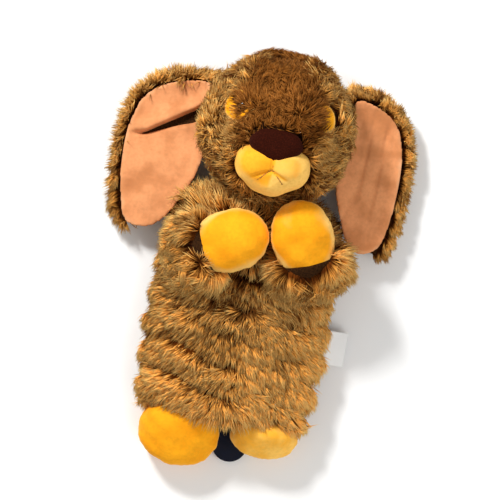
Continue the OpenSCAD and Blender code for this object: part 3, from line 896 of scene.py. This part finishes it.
def stuffed(name, nodes, form=None):
    """A stuffed piece sewn from two halves: filled, then drawn in and puckered along its seam."""
    piece = softened(name, nodes, 2.5 * MM, 8, convex=True, grow=PAW_PILE, form=form)
    blown_up(piece)
    smoothed(piece, 4)
    finer = piece.modifiers.new("finer", "SUBSURF")
    finer.levels = finer.render_levels = 1
    settle(piece)
    halves = [np.array(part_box(node)).mean(0) for node in nodes]
    facing = unit(halves[0] - halves[1])
    places, normals = points_of(piece.data), normals_of(piece.data)
    middle_of = (halves[0] + halves[1]) / 2
    off_seam = (places - middle_of) @ facing
    near = np.exp(-(off_seam / (1.3 * MM)) ** 2)
    round_seam = places - middle_of - off_seam[:, None] * facing
    first = unit(np.cross(facing, [0.3, 0.9, 0.1]))
    angle = np.arctan2(round_seam @ np.cross(facing, first), round_seam @ first)
    pucker = np.exp(-(off_seam / (5 * MM)) ** 2) * np.sin(
        angle * SEAM_PUCKERS + 2 * wave_noise(places, 12 * MM, 61))
    dents = 0.45 * MM * wave_noise(places, 13 * MM, 62)
    move = dents - SEAM_PINCH * near - 0.16 * MM * pucker
    set_points(piece.data, places + move[:, None] * normals)
    return piece, off_seam


def paw_axis(nodes, sleeve):
    """An arm's direction, from the flat wrist end of its paw, and the middle of the whole paw."""
    form = cad_form(nodes, True)
    towards_sleeve = Vector(middle(sleeve) - middle(*nodes)).normalized()
    ends = [face for face in form.faces if face.normal.dot(towards_sleeve) > 0.8]
    flat = max(ends, key=lambda face: sum(f.calc_area() for f in ends if f.normal.dot(face.normal) > 0.999))
    way = -np.array(flat.normal)
    reach = np.array([v.co for v in form.verts]) @ way
    form.free()
    length = (reach.max() - reach.min()) / (0.5 + WRIST_SHARE)
    centre = middle(*nodes)
    return way, centre + (reach.max() - length / 2 - centre @ way) * way


def whole_paw(nodes, way, centre):
    """The paw's full oval, which covers the wrist: its CAD form with its outer half turned onto the wrist."""
    form = cad_form(nodes, True)
    near_wrist = [point for point in form.verts if (np.array(point.co) - centre) @ way < 0]
    bmesh.ops.delete(form, geom=near_wrist, context="VERTS")
    bmesh.ops.delete(form, geom=form.faces[:] + form.edges[:], context="EDGES_FACES")
    mirrored = bmesh.ops.duplicate(form, geom=form.verts[:])["geom"]
    half_turn = Matrix.Rotation(math.pi, 3, Vector(way).cross((0, 0, 1)))
    bmesh.ops.rotate(form, verts=mirrored, cent=centre, matrix=half_turn)
    bmesh.ops.convex_hull(form, input=form.verts)
    bmesh.ops.delete(form, geom=[point for point in form.verts if not point.link_faces], context="VERTS")
    return form


def arm(side, sign):
    body, sleeve = side + "_arm", "sleeve_" + side
    nodes = ["paw_palm_" + side, "paw_back_" + side]
    way, centre = paw_axis(nodes, sleeve)
    paw, off_seam = stuffed("paw_" + side, nodes, whole_paw(nodes, way, centre))
    places = points_of(paw.data)
    along = (places - centre) @ way
    places += (WRIST_STRETCH * np.minimum(along, 0))[:, None] * way
    set_points(paw.data, places)
    # Painted sheen: pale along the seam, where the paw turns away, unevenly by noise.
    rim = (1.1 * np.exp(-((off_seam - 1 * MM) / (8 * MM)) ** 2)
           + PAW_UNEVEN[side] * wave_noise(places, 22 * MM, 63))
    finish_pad(paw, body, nodes, GOLD_VELOUR, rim)
    bed = bed_of([sleeve], voxel=2.5 * MM, smoothing=4)
    off_paw = outside(places)

    def on_sleeve(places, normals):
        under_paw = (off_paw(places) < -4.0 * MM) & (places[:, 2] > centre[2] - 8 * MM)
        return ~under_paw & (places[:, 2] > 14 * MM)

    grow_pile("sleeve_pile_" + side, body, bed, 13000, 150 + sign, BODY_PILE,
              lambda places: unit(places - centre) + np.array([0, -0.15, 0]),
              lambda places: 0.62 + 0.20 * wave_noise(places, 13 * MM, 64), on_sleeve,
              length=SLEEVE_LOCK[side], lift=0.5, tuft=4.2 * MM, pull=0.76)


def foot(side):
    nodes = ["foot_upper_" + side, "foot_sole_" + side]
    piece, off_seam = stuffed("foot_" + side, nodes)
    # Painted sheen: pale along the seam.
    rim = 0.9 * np.exp(-(off_seam / (5 * MM)) ** 2)
    # The left foot takes the paler, painted-light copy of the gold velour.
    finish = LIT_GOLD_VELOUR if side == "left" else GOLD_VELOUR
    finish_pad(piece, side + "_foot", nodes, finish, rim)


# ---- Label and small parts ----

def label():
    """A blank satin label, sloping out from its seam and curling a little."""
    low, high = span("care_label")
    slope = np.array([high[0] - low[0], 0, low[2] - high[2]])
    width, length = high[1] - low[1], np.linalg.norm(slope) - 0.8 * MM
    form = bmesh.new()
    bmesh.ops.create_grid(form, x_segments=24, y_segments=24, size=0.5)
    piece = to_piece(form, "satin_label")
    flat = points_of(piece.data)
    out, along = flat[:, 0] + 0.5, flat[:, 1]
    root = np.array([low[0], (low[1] + high[1]) / 2, high[2] - 0.3 * MM])
    lift = 1.3 * MM * out ** 2 * (0.4 + along) + 0.3 * MM * np.sin(9 * along + 2 * out)
    set_points(piece.data, root + out[:, None] * unit(slope) * length
               + along[:, None] * np.array([0, width, 0]) + lift[:, None] * np.array([0, 0, 1]))
    wall = piece.modifiers.new("cloth", "SOLIDIFY")
    wall.thickness = 0.5 * MM
    wall.offset = 0
    settle(piece)
    piece.data.materials.append(LABEL_SATIN)
    piece.data.shade_smooth()
    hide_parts("care_label")
    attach(piece, "label")


CAD_FINISHES = {
    BACKING_BROWN: ("torso_front", "torso_back", "neck_band", "head_cheek_left", "head_cheek_right",
                    "head_back", "ear_fur_left", "ear_fur_right", "sleeve_left", "sleeve_right"),
    BACKING_DARK: ("head_gusset",),
    NAVY_COTTON: ("glove_lining", "hem_facing", "hem_flap"),
    WADDING: ("head_stuffing", "paw_stuffing_left", "paw_stuffing_right", "foot_stuffing_left",
              "foot_stuffing_right"),
    CARD: ("finger_tube",),
    THREAD: ("mouth_stitching",),
    EYE_BLACK: ("eye_left", "eye_right"),
    WASHER_WHITE: ("eye_washer_left", "eye_washer_right"),
}


def finish_cad_nodes():
    for finish, nodes in CAD_FINISHES.items():
        for node in nodes:
            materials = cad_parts[node].data.materials
            materials.clear()
            materials.append(finish)


# ---- Setting ----

LAMPS = {   # place, size in metres, power in watts
    "key": ((-0.80, 0.95, 1.10), 0.30, 29),
    "fill": ((0.9, -0.6, 1.2), 1.2, 11),
}
LIT_PLACE = (0, 0.02, 0.03)
ROOM_LIGHT = 0.42
CAMERA_PLACE = (0.0014, 0.0114, 2.66)
CAMERA_TURN = math.radians(10)
FOCAL_LENGTH_MM, SENSOR_WIDTH_MM = 262, 36


def setting():
    form = bmesh.new()
    bmesh.ops.create_grid(form, x_segments=1, y_segments=1, size=3)
    bmesh.ops.translate(form, verts=form.verts, vec=(0, 0, FLOOR_Z - 0.2 * MM))
    floor = to_piece(form, "floor")
    paper = Finish("pale_paper", Base_Color=(0.93, 0.93, 0.92, 1), Roughness=0.9, Specular_IOR_Level=0.1)
    floor.data.materials.append(paper.material)
    for name, (place, size, power) in LAMPS.items():
        lamp = bpy.data.lights.new(name, "AREA")
        lamp.size, lamp.energy = size, power
        holder = bpy.data.objects.new(name, lamp)
        holder.location = place
        holder.rotation_euler = (Vector(LIT_PLACE) - Vector(place)).to_track_quat("-Z", "Y").to_euler()
        bpy.context.scene.collection.objects.link(holder)
    world = bpy.data.worlds.new("room")
    world.use_nodes = True
    background = world.node_tree.nodes["Background"]
    background.inputs["Color"].default_value = (1, 1, 1, 1)
    background.inputs["Strength"].default_value = ROOM_LIGHT
    bpy.context.scene.world = world


def camera():
    """Looks straight down, turned so that the puppet leans the way it lies."""
    lens = bpy.data.cameras.new("camera")
    lens.lens, lens.sensor_width = FOCAL_LENGTH_MM, SENSOR_WIDTH_MM
    holder = bpy.data.objects.new("camera", lens)
    holder.location = CAMERA_PLACE
    holder.rotation_euler = (0, 0, CAMERA_TURN)
    bpy.context.scene.collection.objects.link(holder)
    bpy.context.scene.camera = holder
    bpy.context.scene.view_settings.view_transform = "Standard"


camera()
setting()
finish_cad_nodes()
glove_pile()
head_pile()
face_pads()
for side_name, side_sign in SIDES.items():
    ear(side_name, side_sign)
    arm(side_name, side_sign)
    foot(side_name)
label()
